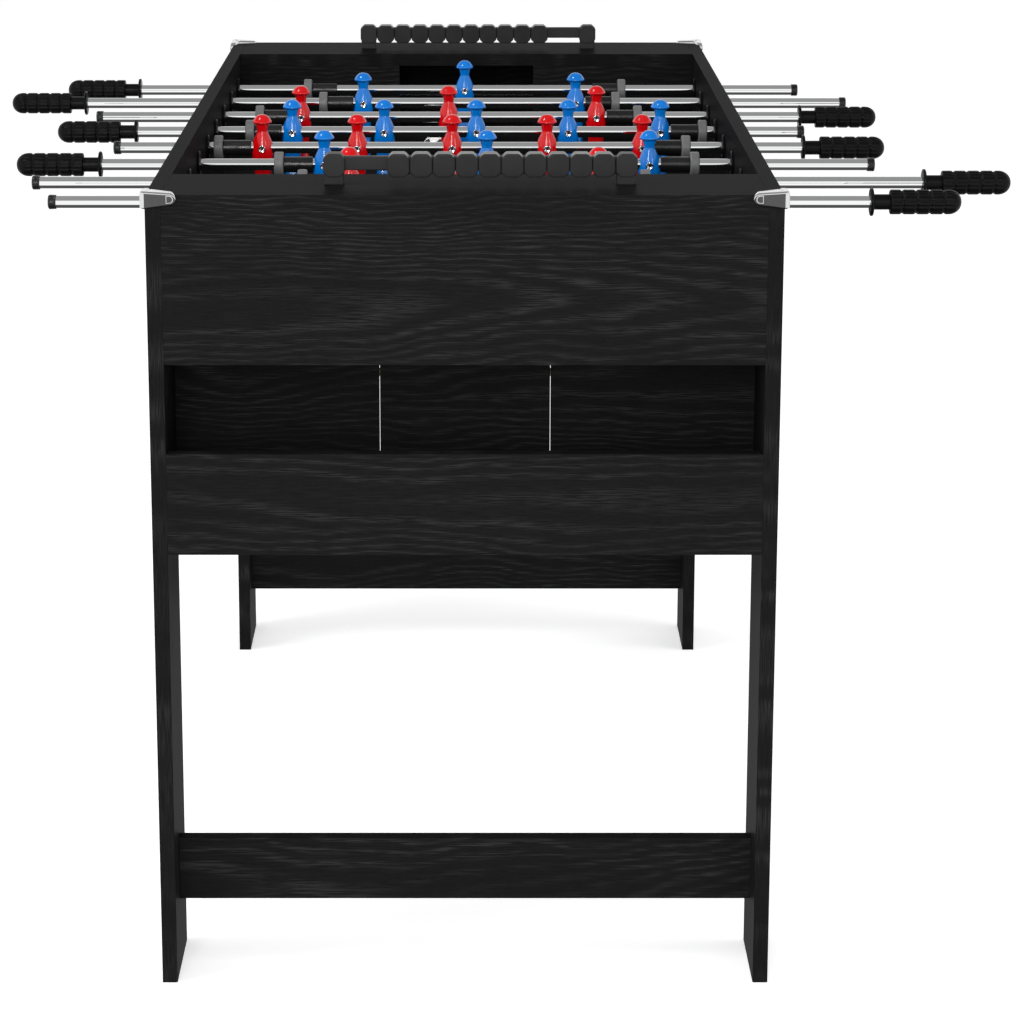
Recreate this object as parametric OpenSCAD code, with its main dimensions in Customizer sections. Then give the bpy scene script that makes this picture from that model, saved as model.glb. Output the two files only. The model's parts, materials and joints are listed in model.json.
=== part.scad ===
// Foosball table with eight rods, two abacus scorers and board legs.
// X runs across the table along the rods, Y along its length, Z up from the floor.

/* [Table] */
// Length of the table over its end panels
table_l = 1210; // [1000:1:1460]
// Width of the table over its side panels
table_w = 607; // [500:1:740]
// Height from the floor to the top edges
table_h = 800; // [660:1:960]
// Thickness of every structural board
board_t = 15; // [12:0.5:19]

/* [Legs] */
// Width of a leg board along the table
leg_w = 110; // [80:1:140]
// Height of a crossbar
crossbar_h = 65; // [40:1:100]
// Height of a crossbar's lower edge above the floor
crossbar_z = 71; // [30:1:150]

/* [Ends] */
// Height of an upper end panel
upper_panel_h = 165; // [120:1:200]
// Height of the ball access opening
access_h = 88; // [60:1:110]
// Height of a lower end panel
lower_panel_h = 101; // [60:1:140]
// Distance of the goal walls inward from the ends of the side panels
goal_wall_in = 0; // [0:1:30]
// Width of the goal mouth
goal_w = 170; // [120:1:200]
// Gap between the middle and the outer boards of a goal wall
goal_gap = 0.8; // [0.3:0.1:4]

/* [Playfield] */
// Thickness of the playfield board
field_t = 9; // [6:1:12]
// Depth of the side grooves that hold the playfield
groove_d = 4; // [2:0.5:6]
// Clearance between the men's feet and the playfield
foot_clear = 7; // [4:0.5:10]
// Diameter of the ball
ball_d = 35; // [30:1:36]

/* [Rods] */
// Outside diameter of a rod tube
tube_d = 12.7; // [10:0.1:16]
// Wall of a rod tube
tube_wall = 1; // [0.8:0.1:1.5]
// Depth of the rod axes below the top edges
rod_drop = 38; // [34:1:44]
// Distance from the goal wall to the first rod
first_rod = 60; // [50:1:64]
// Gap between the circles swept by men of neighbouring rods, halved
sweep_gap = 3; // [2:0.5:6]
// Sliding clearance of a tube in its bushes, on the radius
slide_gap = 0.1; // [0.02:0.01:0.1]
// Turning clearance of the pieces round a tube, on the radius
turn_gap = 0.08; // [0.02:0.01:0.1]

/* [Travel] */
// Travel each way of a rod with one man
travel_1 = 83; // [60:0.1:90]
// Travel each way of a rod with two men
travel_2 = 101.7; // [80:0.1:104]
// Travel each way of a rod with three men
travel_3 = 56.3; // [40:0.1:60]
// Travel each way of a rod with five men
travel_5 = 20; // [18:0.1:28]
// Gap left between a stop ring and its bush at the end of the travel
stop_gap = 0.4; // [0.2:0.1:1]

/* [Men] */
// Height of a man's hat top above the rod axis
hat_top = 37.4; // [33:0.1:38]
// Height of the hat's brim above the rod axis
brim_z = 28.8; // [26:0.1:30]
// Width of the hat's brim
brim_w = 22.4; // [18:0.1:24]
// Width of a man's neck
neck_w = 11.8; // [9:0.1:13]
// Width of a man's body at the rod
man_w = 24; // [21:0.1:26]
// Width of a man's leg block
foot_w = 18; // [14:0.1:20]
// Thickness of a man's foot
foot_t = 17; // [12:0.1:19]
// Thickness of a man's leg above the foot
shin_t = 12; // [9:0.1:14]
// Diameter of a man's screw head
man_screw_d = 7; // [5:0.1:8]

/* [Bumpers and bushes] */
// Diameter of a stop ring
ring_d = 27.5; // [24:0.1:29]
// Width of a stop ring
ring_w = 10; // [6:0.5:12]
// Wall of a bumper sleeve
sleeve_wall = 2.07; // [1:0.01:4]
// Length of a bumper sleeve
sleeve_l = 31.5; // [20:0.5:34]
// Wall of a bush barrel
bush_wall = 1.55; // [1:0.05:3]
// Diameter of a bush flange
bush_flange_d = 29; // [24:0.5:32]
// Thickness of a bush flange
bush_flange_t = 3; // [2:0.5:4]
// Width across corners of a bush nut
bush_nut_d = 27; // [23:0.5:30]
// Thickness of a bush nut
bush_nut_t = 5; // [4:0.5:7]

/* [Handles and end caps] */
// Diameter of a handle flange
handle_flange_d = 28.5; // [26:0.5:32]
// Thickness of a handle flange
handle_flange_t = 4; // [3:0.5:5]
// Wall of a handle neck
neck_wall = 1.37; // [1:0.01:3]
// Length of a handle neck
neck_l = 16; // [10:0.5:20]
// Diameter of a grip
grip_d = 25; // [22:0.5:30]
// Length of a grip
grip_l = 72; // [65:0.5:90]
// Spacing of the ring grooves round a grip
groove_pitch = 14; // [12:0.5:15]
// Wall of an end cap round its tube
cap_wall = 0.97; // [0.8:0.01:2]
// Length of an end cap
cap_l = 8; // [6:0.5:12]

/* [Scorers] */
// Length of a scorer over its posts
scorer_l = 303; // [290:1:340]
// Width of a scorer post
post_w = 21; // [18:0.5:24]
// Height of a scorer post's foot
post_foot_h = 7.7; // [5:0.1:9]
// Height of a bead
bead_h = 22.8; // [20:0.1:24]
// Spacing of the beads when they touch
bead_pitch = 22; // [20:0.5:22.5]
// Number of beads on one scorer
bead_count = 10; // [8:1:10]
// Height of the scorer bar's section
bar_h = 13.4; // [10:0.1:15]
// Thickness of the scorer bar's section
bar_t = 8; // [6:0.1:10]
// Sideways offset of both scorers from the middle of the table
scorer_x = 15; // [0:1:40]
// Distance of both scorers from the middle of their ledges towards the ends
scorer_out = 5; // [0:1:30]

/* [Corner caps] */
// Reach of a corner cap along the end panel
cap_reach_x = 30; // [24:1:40]
// Reach of a corner cap along the side panel
cap_reach_y = 31; // [24:1:40]
// Thickness of a corner cap over the board faces
cap_t = 4.5; // [2:0.5:6]
// Height of a corner cap over the top edges
cap_rise = 4; // [2:0.5:5]
// Depth of a corner cap below the top edges, at the corner
cap_skirt = 13; // [10:0.5:20]
// Radius of a corner cap's rounded tips
cap_tip_r = 6.2; // [4:0.1:7]
// Height of a corner cap's tips over the top edges
cap_tip_rise = 2.5; // [1:0.1:4]
// Rounding of a corner cap's outer edge
cap_round = 4.5; // [2:0.5:6]
// Lap of a corner cap over the top of the end panel
cap_lap_end = 14; // [8:0.5:18]
// Lap of a corner cap over the top of the side panel
cap_lap_side = 6; // [4:0.5:12]

/* [Fasteners] */
// Diameter of the board screws
screw_d = 4; // [3:0.5:5]
// Diameter of the board screws' heads
screw_head_d = 8; // [7:0.5:9]
// Length of the board screws
screw_l = 45; // [35:1:50]
// Diameter of the dowels
dowel_d = 8; // [6:1:9]
// Length of the dowels
dowel_l = 40; // [30:1:50]
// Clearance round screws and dowels, on the radius
fix_gap = 0.05; // [0.02:0.01:0.2]
// Gap between separate pieces that sit face to face on one rod or rail
seat_gap = 0.05; // [0.02:0.01:0.2]

/* [Hidden] */
$fn = 48;
eps = 0.01;

BOARD = "#29292b";
PLASTIC = "#1a1a1b";
GREY = "#77787a";
CHROME = "#d8dadd";
RED = "#d8141f";
BLUE = "#1478dc";

// Boards
half_l = table_l / 2;
half_w = table_w / 2;
inner_x = half_w - board_t;
side_end_y = half_l - leg_w;
side_z = table_h - upper_panel_h - access_h - lower_panel_h;
upper_panel_z = table_h - upper_panel_h;
access_z = upper_panel_z - access_h;
ledge_z = table_h - board_t;
goal_back_y = side_end_y - goal_wall_in;
goal_wall_y = goal_back_y - board_t;
end_in_y = half_l - board_t;
crossbar_y = half_l - (leg_w - board_t) / 2 - board_t;

// Rods
rod_count = 8;
rod_pitch = (2 * goal_wall_y - 2 * first_rod) / (rod_count - 1);
rod_z = table_h - rod_drop;
foot_r = rod_pitch / 2 - sweep_gap;
field_z = rod_z - foot_r - foot_clear;
bush_face_x = inner_x - bush_flange_t;
slide_bore = tube_d + 2 * slide_gap;
turn_bore = tube_d + 2 * turn_gap;
bush_d = slide_bore + 2 * bush_wall;
sleeve_d = turn_bore + 2 * sleeve_wall;
neck_d = turn_bore + 2 * neck_wall;
cap_d = turn_bore + 2 * cap_wall;
handle_l = handle_flange_t + neck_l + grip_l;

// One entry per rod, counted from the near end
MEN = [1, 2, 3, 5, 5, 3, 2, 1];
IS_RED = [true, true, false, true, false, true, false, false];
REST_X = [0, 9, 23, -15, 12, -20.5, 4, -2];

// By number of men: travel, tube left outside the wall at the capped end, and at the handle
function by_men(n, one, two, three, five) = n == 1 ? one : n == 2 ? two : n == 3 ? three : five;
function travel(n) = by_men(n, travel_1, travel_2, travel_3, travel_5);
function cap_spare(n) = by_men(n, 32.5, 54.8, 58, 53.5);
function handle_spare(n) = by_men(n, 20.5, 61.8, 55, 66);

function rod_y(k) = -goal_wall_y + first_rod + rod_pitch * (k - 1);
function stop_outer(n) = bush_face_x - travel(n) - stop_gap;
function sleeve_in(n) = stop_outer(n) - ring_w - seat_gap - sleeve_l;
man_sleeve_gap = 0.2;
function outer_man_x(n) = sleeve_in(n) - man_sleeve_gap - man_w / 2;
function man_x(n, i) = n == 1 ? 0 : outer_man_x(n) * (2 * i / (n - 1) - 1);
function cap_tip(n) = half_w + travel(n) + cap_spare(n);
function handle_start(n) = half_w + travel(n) + handle_spare(n);

cap_end_t = 1.5;
tip_wall = 14;
tube_play = 1;

// Scorers
bead_w = bead_pitch - 0.3;
bead_t = 20;
bead_play = 0.5;
slot_gap = 0.4;
post_t = 18;
scorer_y = (goal_wall_y + end_in_y) / 2 + scorer_out;
bead_z = table_h + post_foot_h + bead_h / 2;
bar_z = bead_z + 1.5;

// Fastener places at one corner, as [y, z], for screws that run across the table
upper_screws = [for (z = [upper_panel_z + 30, table_h - 45]) [half_l - board_t / 2, z]];
lower_screws = [for (z = [side_z + 22, access_z - 22]) [half_l - board_t / 2, z]];
crossbar_screws = [for (z = [crossbar_z + 14, crossbar_z + crossbar_h - 14])
    [crossbar_y + board_t / 2, z]];
ledge_screws = [for (y = [end_in_y - 20, side_end_y + 20]) [y, table_h - board_t / 2]];
tray_screws = [[(end_in_y + goal_back_y) / 2, side_z + board_t / 2]];
wall_screws = [for (z = [side_z + 40, access_z + 40, ledge_z - 60])
    [goal_wall_y + board_t / 2, z]];
leg_screws = concat(upper_screws, lower_screws, crossbar_screws, ledge_screws, tray_screws);

// Heights of the dowels between legs and side panels, and between goal wall boards
edge_dowels = [side_z + 50, side_z + 177, table_h - 60];
wall_dowels = [side_z + 34, access_z + 55, field_z - 18];

STRUCTURE = [
    "side_panel_left", "side_panel_right",
    "leg_near_left", "leg_near_right", "leg_far_left", "leg_far_right",
    "upper_end_panel_near", "upper_end_panel_far",
    "lower_end_panel_near", "lower_end_panel_far",
    "crossbar_near", "crossbar_far",
    "ledge_near", "ledge_far",
    "goal_wall_near", "goal_wall_far",
    "ball_tray_near", "ball_tray_far",
    "playfield", "rod_bushes", "corner_caps", "dowels", "board_screws",
    "scorer_rail_near", "scorer_rail_far"];
LOOSE = ["scorer_beads_near", "scorer_beads_far", "ball"];
ROD_PARTS = ["tube", "men", "handle", "bumpers"];

// ---- helpers ----

// Takes a shape made for the far right corner to the corner with these signs
module flip(x, y) {
    if (x < 0 && y < 0) rotate([0, 0, 180]) children();
    else if (x < 0) mirror([1, 0, 0]) children();
    else if (y < 0) mirror([0, 1, 0]) children();
    else children();
}

// Box between two corners
module span(lo, hi) {
    translate(lo) cube(hi - lo);
}

// Cylinder or cone along X that starts at x
module along_x(x, l, d, d2 = undef) {
    translate([x, 0, 0]) rotate([0, 90, 0])
        cylinder(h = l, d1 = d, d2 = is_undef(d2) ? d : d2);
}

// Board screw pointing to the middle of the table, its head flush with the outer face
module board_screw(gap = 0) {
    head_l = (screw_head_d - screw_d) / 2;
    tip_x = half_w - screw_l - (gap > 0 ? 1 : 0);
    along_x(tip_x, half_w - tip_x - head_l + eps, screw_d + 2 * gap);
    along_x(half_w - head_l, head_l + (gap > 0 ? eps : 0), screw_d + 2 * gap,
        screw_head_d + 2 * gap);
}

module board_screws_at(places, gap = 0) {
    for (p = places) translate([0, p[0], p[1]]) board_screw(gap);
}

// Dowels along Y across the joint between a leg and a side panel
module leg_dowels(gap = 0) {
    half = dowel_l / 2 + (gap > 0 ? 1 : 0);
    for (z = edge_dowels) translate([half_w - board_t / 2, side_end_y, z])
        rotate([90, 0, 0]) cylinder(h = 2 * half, d = dowel_d + 2 * gap, center = true);
}

// Dowels along X across the gap beside the middle board of a goal wall
module goal_dowels(gap = 0) {
    half = dowel_l / 2 + (gap > 0 ? 1 : 0);
    for (z = wall_dowels) translate([goal_w / 2, goal_wall_y + board_t / 2, z])
        along_x(-half, 2 * half, dowel_d + 2 * gap);
}

// ---- boards ----

// Dowel holes, screw holes and playfield groove of a side, from its middle to the far end
module side_cuts() {
    leg_dowels(fix_gap);
    board_screws_at(concat(leg_screws, wall_screws), fix_gap);
    span([inner_x - eps, -eps, field_z - field_t], [inner_x + groove_d, goal_wall_y, field_z]);
}

module leg(x, y) {
    color(BOARD) flip(x, y) difference() {
        span([inner_x, side_end_y, 0], [half_w, half_l, table_h]);
        side_cuts();
    }
}

module side_panel(x) {
    color(BOARD) flip(x, 1) difference() {
        span([inner_x, -side_end_y, side_z], [half_w, side_end_y, table_h]);
        for (k = [1:rod_count]) translate([0, rod_y(k), rod_z])
            along_x(inner_x - 1, board_t + 2, bush_d + 2 * fix_gap);
        for (y = [-1, 1]) flip(1, y) side_cuts();
    }
}

// Board of one end that runs from side to side, with its screw holes
module cross_board(y, lo_y, hi_y, lo_z, hi_z, screws) {
    color(BOARD) flip(1, y) difference() {
        span([-inner_x, lo_y, lo_z], [inner_x, hi_y, hi_z]);
        for (x = [-1, 1]) flip(x, 1) board_screws_at(screws, fix_gap);
    }
}

module upper_end_panel(y) {
    cross_board(y, end_in_y, half_l, upper_panel_z, table_h, upper_screws);
}

module lower_end_panel(y) {
    cross_board(y, end_in_y, half_l, side_z, access_z, lower_screws);
}

module crossbar(y) {
    cross_board(y, crossbar_y, crossbar_y + board_t, crossbar_z, crossbar_z + crossbar_h,
        crossbar_screws);
}

module ledge(y) {
    cross_board(y, goal_wall_y, end_in_y, ledge_z, table_h, ledge_screws);
}

module ball_tray(y) {
    cross_board(y, goal_back_y, end_in_y, side_z, side_z + board_t, tray_screws);
}

// Two outer boards up to the ledge, and a middle board up to the playfield
module goal_wall(y) {
    color(BOARD) flip(1, y) difference() {
        union() {
            for (x = [-1, 1]) flip(x, 1)
                span([goal_w / 2 + goal_gap / 2, goal_wall_y, side_z],
                    [inner_x, goal_back_y, ledge_z]);
            span([-goal_w / 2 + goal_gap / 2, goal_wall_y, side_z],
                [goal_w / 2 - goal_gap / 2, goal_back_y, field_z]);
        }
        for (x = [-1, 1]) flip(x, 1) {
            goal_dowels(fix_gap);
            board_screws_at(wall_screws, fix_gap);
        }
    }
}

module playfield() {
    edge_x = inner_x + groove_d - 0.2;
    color(BOARD) span([-edge_x, -goal_wall_y, field_z - field_t],
        [edge_x, goal_wall_y, field_z]);
}

// ---- fittings ----

module dowels() {
    color("burlywood") for (x = [-1, 1]) for (y = [-1, 1]) flip(x, y) {
        leg_dowels();
        goal_dowels();
    }
}

module board_screws() {
    color(GREY) for (x = [-1, 1]) for (y = [-1, 1]) flip(x, y)
        board_screws_at(concat(leg_screws, wall_screws));
}

// Flanged bush from the inside of a side panel, and its nut outside
module rod_bush() {
    difference() {
        union() {
            along_x(bush_face_x, bush_flange_t, bush_flange_d);
            along_x(inner_x - eps, board_t + bush_nut_t + 1, bush_d);
        }
        along_x(bush_face_x - 1, board_t + bush_flange_t + bush_nut_t + 3, slide_bore);
    }
    difference() {
        translate([half_w, 0, 0]) rotate([0, 90, 0]) cylinder(h = bush_nut_t, d = bush_nut_d, $fn = 6);
        along_x(half_w - 1, bush_nut_t + 2, bush_d + 2 * fix_gap);
    }
}

module rod_bushes() {
    color(PLASTIC) for (k = [1:rod_count]) translate([0, rod_y(k), rod_z])
        for (x = [-1, 1]) flip(x, 1) rod_bush();
}

// Outline of one arm of a corner cap, from the corner at 0 to its rounded tip
module cap_arm_outline(reach) {
    tip_x = reach - cap_tip_r;
    tip_z = cap_tip_rise - cap_tip_r;
    union() {
        polygon([[-cap_t, -cap_skirt], [-cap_t, cap_rise], [0, cap_rise],
            [tip_x, cap_tip_rise], [tip_x, tip_z - cap_tip_r], [0, -cap_skirt]]);
        translate([tip_x, tip_z]) circle(cap_tip_r);
    }
}

// Arm of a corner cap along the end panel, which laps over the panel's top
module cap_arm(reach) {
    rotate([90, 0, 0]) linear_extrude(cap_t) cap_arm_outline(reach);
}

// Outline from above: round at the table's corner, narrow over the tops of the boards
module cap_plan() {
    end_x = cap_reach_x - cap_tip_r;
    end_y = cap_reach_y - cap_tip_r;
    outer = cap_t - cap_round;
    union() {
        translate([-outer, -outer]) circle(cap_round);
        polygon([[-outer, -cap_t], [end_x, -cap_t], [end_x, 0.6 * cap_lap_end],
            [cap_lap_side, cap_lap_end], [0.6 * cap_lap_side, end_y], [-cap_t, end_y],
            [-cap_t, -outer]]);
    }
}

module corner_cap() {
    long = cap_reach_x + cap_reach_y;
    translate([half_w, half_l, table_h]) rotate([0, 0, 180]) intersection() {
        union() {
            cap_arm(cap_reach_x);
            mirror([1, -1, 0]) cap_arm(cap_reach_y);
            linear_extrude(cap_tip_rise) cap_plan();
        }
        translate([0, 0, -cap_skirt - 1]) linear_extrude(cap_skirt + cap_rise + 2) union() {
            translate([cap_round - cap_t, cap_round - cap_t]) circle(cap_round);
            translate([cap_round - cap_t, -cap_t]) square([long, long]);
            translate([-cap_t, cap_round - cap_t]) square([long, long]);
        }
    }
}

module corner_caps() {
    color(CHROME) for (x = [-1, 1]) for (y = [-1, 1]) flip(x, y) corner_cap();
}

// ---- scorers ----

module round_rect(w, h, r) {
    union() {
        square([w - 2 * r, h], center = true);
        square([w, h - 2 * r], center = true);
        for (x = [-1, 1]) for (y = [-1, 1])
            translate([x * (w / 2 - r), y * (h / 2 - r)]) circle(r);
    }
}

// Block with rounded edges seen from the end and from the front
module soft_block(w, t, h, r) {
    intersection() {
        rotate([90, 0, 0]) linear_extrude(t + 2, center = true) round_rect(w, h, r);
        rotate([90, 0, 90]) linear_extrude(w + 2, center = true) round_rect(t, h, r);
    }
}

module scorer_rail(y) {
    inner = scorer_l / 2 - post_w;
    color(PLASTIC) translate([scorer_x, y * scorer_y, 0]) {
        for (x = [-1, 1]) translate([x * (inner + post_w / 2), 0, 0]) union() {
            translate([0, 0, bead_z]) soft_block(post_w, post_t, bead_h, 4);
            span([-post_w / 2 + 1, -post_t / 2 + 1, table_h],
                [post_w / 2 - 1, post_t / 2 - 1, bead_z]);
        }
        bar_end = inner - seat_gap;
        span([-bar_end, -bar_t / 2, bar_z - bar_h / 2], [bar_end, bar_t / 2, bar_z + bar_h / 2]);
    }
}

// Beads pushed together at the right on the near scorer, and at the left on the far one
module scorer_beads(y) {
    first = scorer_l / 2 - post_w - bead_play - bead_pitch / 2;
    color(PLASTIC) translate([scorer_x, y * scorer_y, bead_z])
        for (i = [0:bead_count - 1]) translate([-y * (first - i * bead_pitch), 0, 0])
            difference() {
                soft_block(bead_w, bead_t, bead_h, 5);
                translate([0, 0, bar_z - bead_z]) cube([bead_w + 2, bar_t + 2 * slot_gap,
                    bar_h + 2 * slot_gap], center = true);
            }
}

// ---- rods ----

// Takes a rod whose handle points to +X to rod k, counted from the near end
module at_rod(k) {
    translate([REST_X[k - 1], rod_y(k), rod_z]) flip(IS_RED[k - 1] ? 1 : -1, 1) children();
}

module rod_tube(k) {
    n = MEN[k - 1];
    from = -cap_tip(n) + cap_end_t + 0.2;
    to = handle_start(n) + handle_l - tip_wall - tube_play;
    color(CHROME) at_rod(k) difference() {
        along_x(from, to - from, tube_d);
        along_x(from - 1, to - from + 2, tube_d - 2 * tube_wall);
    }
}

// Half section of a man above the legs, as [radius, height]
function man_outline() = concat(
    [[0, hat_top]],
    [for (a = [75:-15:0]) [brim_w / 2 * cos(a), brim_z + (hat_top - brim_z) * sin(a)]],
    [[brim_w / 2 - 1.6, brim_z - 2.2], [neck_w / 2 + 1.4, brim_z - 3.2], [neck_w / 2 + 0.9, 23],
        [neck_w / 2, 19.3], [neck_w / 2 + 0.9, 15.5]],
    [for (t = [0.2:0.2:1]) [neck_w / 2 + 1.2 + (man_w / 2 - neck_w / 2 - 1.2) * sin(90 * t),
        14 - 16 * t]],
    [[man_w / 2, -8], [man_w / 2 - 1.2, -12.5], [foot_w / 2, -16], [0, -16]]);

shin_z = -27;
toe_h = 11;

// Leg block: its front outline cut with its side outline, and a sole round the rod axis
module man_leg() {
    intersection() {
        rotate([90, 0, 0]) linear_extrude(man_w, center = true) polygon([
            [-man_w / 2 + 1, -9], [man_w / 2 - 1, -9], [foot_w / 2, shin_z],
            [foot_w / 2, -foot_r], [-foot_w / 2, -foot_r], [-foot_w / 2, shin_z]]);
        rotate([90, 0, 90]) linear_extrude(man_w, center = true) polygon([
            [-foot_t / 2, -9], [foot_t / 2, -9], [shin_t / 2, shin_z + 3], [shin_t / 2, shin_z],
            [foot_t / 2, -foot_r + toe_h], [foot_t / 2, -foot_r], [-foot_t / 2, -foot_r],
            [-foot_t / 2, -foot_r + toe_h], [-shin_t / 2, shin_z], [-shin_t / 2, shin_z + 3]]);
        along_x(-man_w / 2, man_w, 2 * foot_r);
    }
}

man_seat_y = man_w / 2 - 1.2;
screw_foot_y = tube_d / 2 + 0.25;

module man() {
    difference() {
        union() {
            rotate_extrude() polygon(man_outline());
            man_leg();
        }
        along_x(-man_w, 2 * man_w, turn_bore);
        rotate([90, 0, 0]) cylinder(h = man_w, d = 3 + 2 * fix_gap);
        translate([0, -man_seat_y, 0]) rotate([90, 0, 0])
            cylinder(h = man_w, d = man_screw_d + 2 * fix_gap);
    }
}

// Screw from the front of a man, with a flat head of diameter d
module rod_screw(seat_y, d, head_h) {
    rotate([90, 0, 0]) {
        translate([0, 0, screw_foot_y]) cylinder(h = seat_y - screw_foot_y + 2 * seat_gap, d = 3);
        translate([0, 0, seat_y + seat_gap]) cylinder(h = head_h, d = d);
    }
}

module rod_men(k) {
    n = MEN[k - 1];
    at_rod(k) for (i = [0:n - 1]) translate([man_x(n, i), 0, 0]) {
        color(IS_RED[k - 1] ? RED : BLUE) man();
        color(CHROME) rod_screw(man_seat_y, man_screw_d, 1.7);
    }
}

// Half section of a handle from its flange at 0 to its rounded tip, as [radius, distance]
groove_w = 2.4;
groove_deep = 1.2;
tip_l = 13;
grip_z = handle_flange_t + neck_l;
groove_n = floor((grip_l - tip_l) / groove_pitch);
function handle_outline() = concat(
    [[0, 0], [handle_flange_d / 2, 0], [handle_flange_d / 2, handle_flange_t],
        [neck_d / 2, handle_flange_t], [neck_d / 2, grip_z], [grip_d / 2 - 1, grip_z],
        [grip_d / 2, grip_z + 1]],
    [for (i = [1:groove_n]) for (p = [[0, -1], [-groove_deep, -0.5], [-groove_deep, 0.5], [0, 1]])
        [grip_d / 2 + p[0], grip_z + i * groove_pitch + p[1] * groove_w / 2]],
    [for (a = [0:15:75]) [grip_d / 2 * cos(a), handle_l - tip_l + tip_l * sin(a)]],
    [[0, handle_l]]);

module rod_handle(k) {
    n = MEN[k - 1];
    color(PLASTIC) at_rod(k) translate([handle_start(n), 0, 0]) rotate([0, 90, 0])
        difference() {
            rotate_extrude() polygon(handle_outline());
            translate([0, 0, -1]) cylinder(h = handle_l - tip_wall + 1, d = turn_bore);
        }
}

// Stop rings and bumper sleeves at both ends of the men, and the end cap of the tube
module rod_bumpers(k) {
    n = MEN[k - 1];
    at_rod(k) {
        for (x = [-1, 1]) {
            color(GREY) difference() {
                translate([x * (stop_outer(n) - ring_w / 2), 0, 0])
                    along_x(-ring_w / 2, ring_w, ring_d);
                along_x(-half_w, 2 * half_w, turn_bore);
            }
            translate([x * (sleeve_in(n) + sleeve_l / 2), 0, 0]) {
                color(PLASTIC) difference() {
                    along_x(-sleeve_l / 2, sleeve_l, sleeve_d);
                    along_x(-sleeve_l, 2 * sleeve_l, turn_bore);
                    rotate([90, 0, 0]) cylinder(h = sleeve_d, d = 3 + 2 * fix_gap);
                }
                color(CHROME) rod_screw(sleeve_d / 2 - 0.1, 3, 0.4);
            }
        }
        color(PLASTIC) translate([-cap_tip(n), 0, 0]) difference() {
            along_x(0, cap_l, cap_d);
            along_x(cap_end_t, cap_l, turn_bore);
        }
    }
}

module ball() {
    rest_gap = 0.3;
    color("white") translate([-35, (rod_y(6) + rod_y(7)) / 2, field_z + ball_d / 2 + rest_gap])
        sphere(d = ball_d);
}

// ---- the pieces ----

side_panel(-1);  // side_panel_left
side_panel(1);  // side_panel_right
leg(-1, -1);  // leg_near_left
leg(1, -1);  // leg_near_right
leg(-1, 1);  // leg_far_left
leg(1, 1);  // leg_far_right
upper_end_panel(-1);  // upper_end_panel_near
upper_end_panel(1);  // upper_end_panel_far
lower_end_panel(-1);  // lower_end_panel_near
lower_end_panel(1);  // lower_end_panel_far
crossbar(-1);  // crossbar_near
crossbar(1);  // crossbar_far
ledge(-1);  // ledge_near
ledge(1);  // ledge_far
goal_wall(-1);  // goal_wall_near
goal_wall(1);  // goal_wall_far
ball_tray(-1);  // ball_tray_near
ball_tray(1);  // ball_tray_far
playfield();
rod_bushes();
corner_caps();
dowels();
board_screws();
scorer_rail(-1);  // scorer_rail_near
scorer_rail(1);  // scorer_rail_far
scorer_beads(-1);  // scorer_beads_near
scorer_beads(1);  // scorer_beads_far
ball();
for (k = [1:rod_count]) {
    rod_tube(k);
    rod_men(k);
    rod_handle(k);
    rod_bumpers(k);
}
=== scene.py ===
"""Looks of the foosball table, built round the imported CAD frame. Lengths are in metres."""
import itertools
import json
import math

import bmesh
import bpy
from mathutils import Matrix, Vector

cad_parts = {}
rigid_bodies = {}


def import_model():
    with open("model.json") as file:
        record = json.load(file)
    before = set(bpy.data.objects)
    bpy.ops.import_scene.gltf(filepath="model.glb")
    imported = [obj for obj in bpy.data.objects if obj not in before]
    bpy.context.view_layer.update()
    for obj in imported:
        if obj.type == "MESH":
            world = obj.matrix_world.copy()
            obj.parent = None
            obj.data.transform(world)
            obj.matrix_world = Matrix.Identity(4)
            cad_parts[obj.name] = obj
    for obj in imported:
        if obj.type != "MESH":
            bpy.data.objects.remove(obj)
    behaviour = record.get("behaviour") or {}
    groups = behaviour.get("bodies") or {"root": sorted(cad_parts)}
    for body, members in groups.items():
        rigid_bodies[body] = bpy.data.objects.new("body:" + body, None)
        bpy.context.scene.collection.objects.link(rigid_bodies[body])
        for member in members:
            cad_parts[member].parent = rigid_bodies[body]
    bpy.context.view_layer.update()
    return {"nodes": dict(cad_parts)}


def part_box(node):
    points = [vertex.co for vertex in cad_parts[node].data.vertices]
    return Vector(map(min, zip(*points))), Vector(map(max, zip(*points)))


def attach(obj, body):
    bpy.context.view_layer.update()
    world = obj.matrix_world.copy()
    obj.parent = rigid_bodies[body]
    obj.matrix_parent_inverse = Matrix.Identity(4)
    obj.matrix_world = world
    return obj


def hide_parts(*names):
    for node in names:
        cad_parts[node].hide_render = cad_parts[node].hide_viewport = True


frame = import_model()

MM = 0.001
TURN = 2 * math.pi
MEN_PER_ROD = (1, 2, 3, 5, 5, 3, 2, 1)
RODS = range(1, len(MEN_PER_ROD) + 1)


# ---------------------------------------------------------------- shader helpers

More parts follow.
